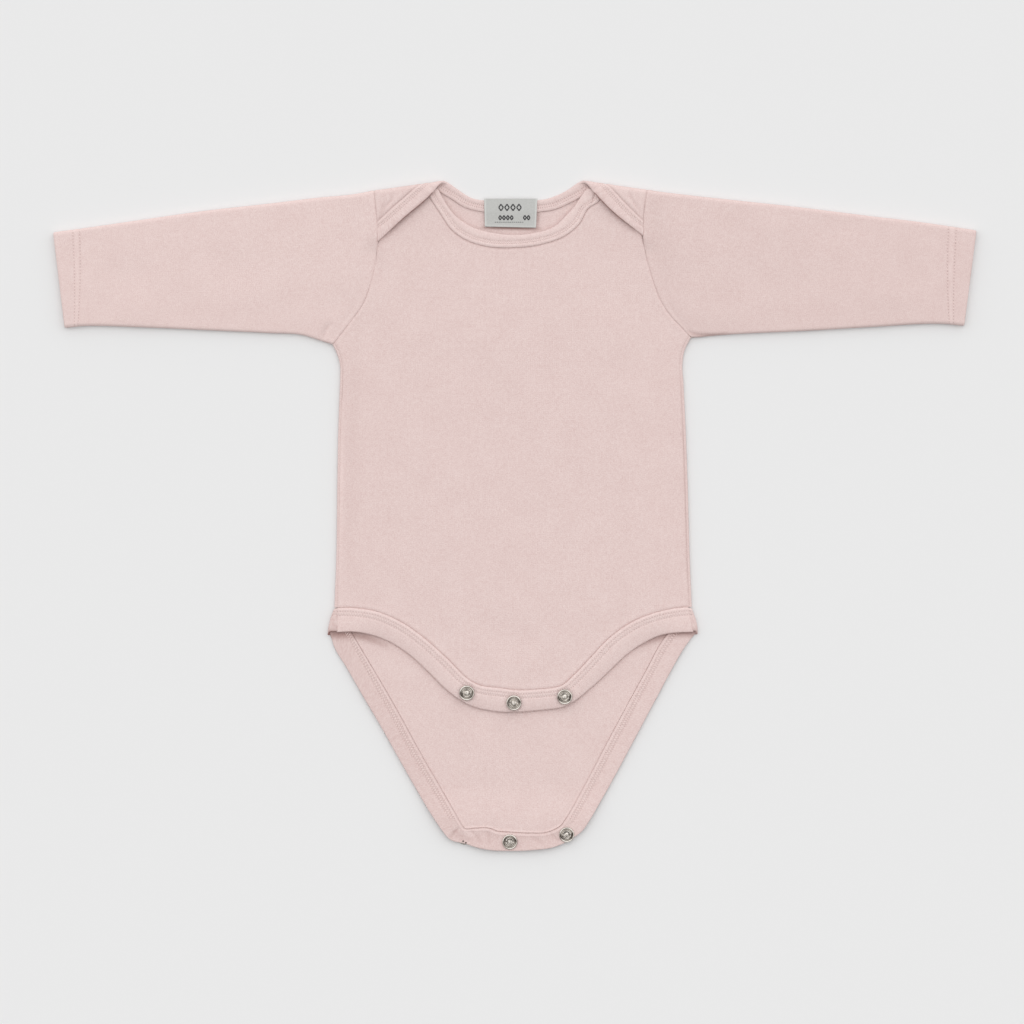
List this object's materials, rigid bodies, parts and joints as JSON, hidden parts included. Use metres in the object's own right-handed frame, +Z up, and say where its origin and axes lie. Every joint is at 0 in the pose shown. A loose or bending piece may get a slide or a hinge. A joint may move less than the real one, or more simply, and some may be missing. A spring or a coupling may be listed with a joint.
{
  "type": "baby bodysuit",
  "caption": "Long-sleeved baby bodysuit in pale pink jersey, laid flat and unsnapped, with envelope shoulders, bound neck and legs and metal snaps.",
  "frame": {"origin": "centre of the garment's outline as it lies, on the surface under it", "axes": "+X to the right sleeve as seen from above, +Y to the neck, +Z up out of the surface"},
  "size_m": [0.5536, 0.402, 0.006],
  "materials": {
    "jersey": "matt cotton interlock jersey, pale pink",
    "label": "grey woven satin",
    "snap": "nickel-plated brass, polished"
  },
  "bodies": {
    "root": {"back_panel": "jersey", "front_panel": "jersey", "sleeve_left": "jersey", "sleeve_right": "jersey", "neck_binding_back": "jersey", "neck_binding_front": "jersey", "leg_binding_back": "jersey", "leg_binding_front": "jersey", "label": "label", "snap_front_left": "snap", "snap_front_left_base": "snap", "snap_back_left_base": "snap", "snap_front_middle": "snap", "snap_front_middle_base": "snap", "snap_back_middle_base": "snap", "snap_back_middle": "snap", "snap_front_right": "snap", "snap_front_right_base": "snap", "snap_back_right_base": "snap", "snap_back_right": "snap"}
  },
  "joints": []
}
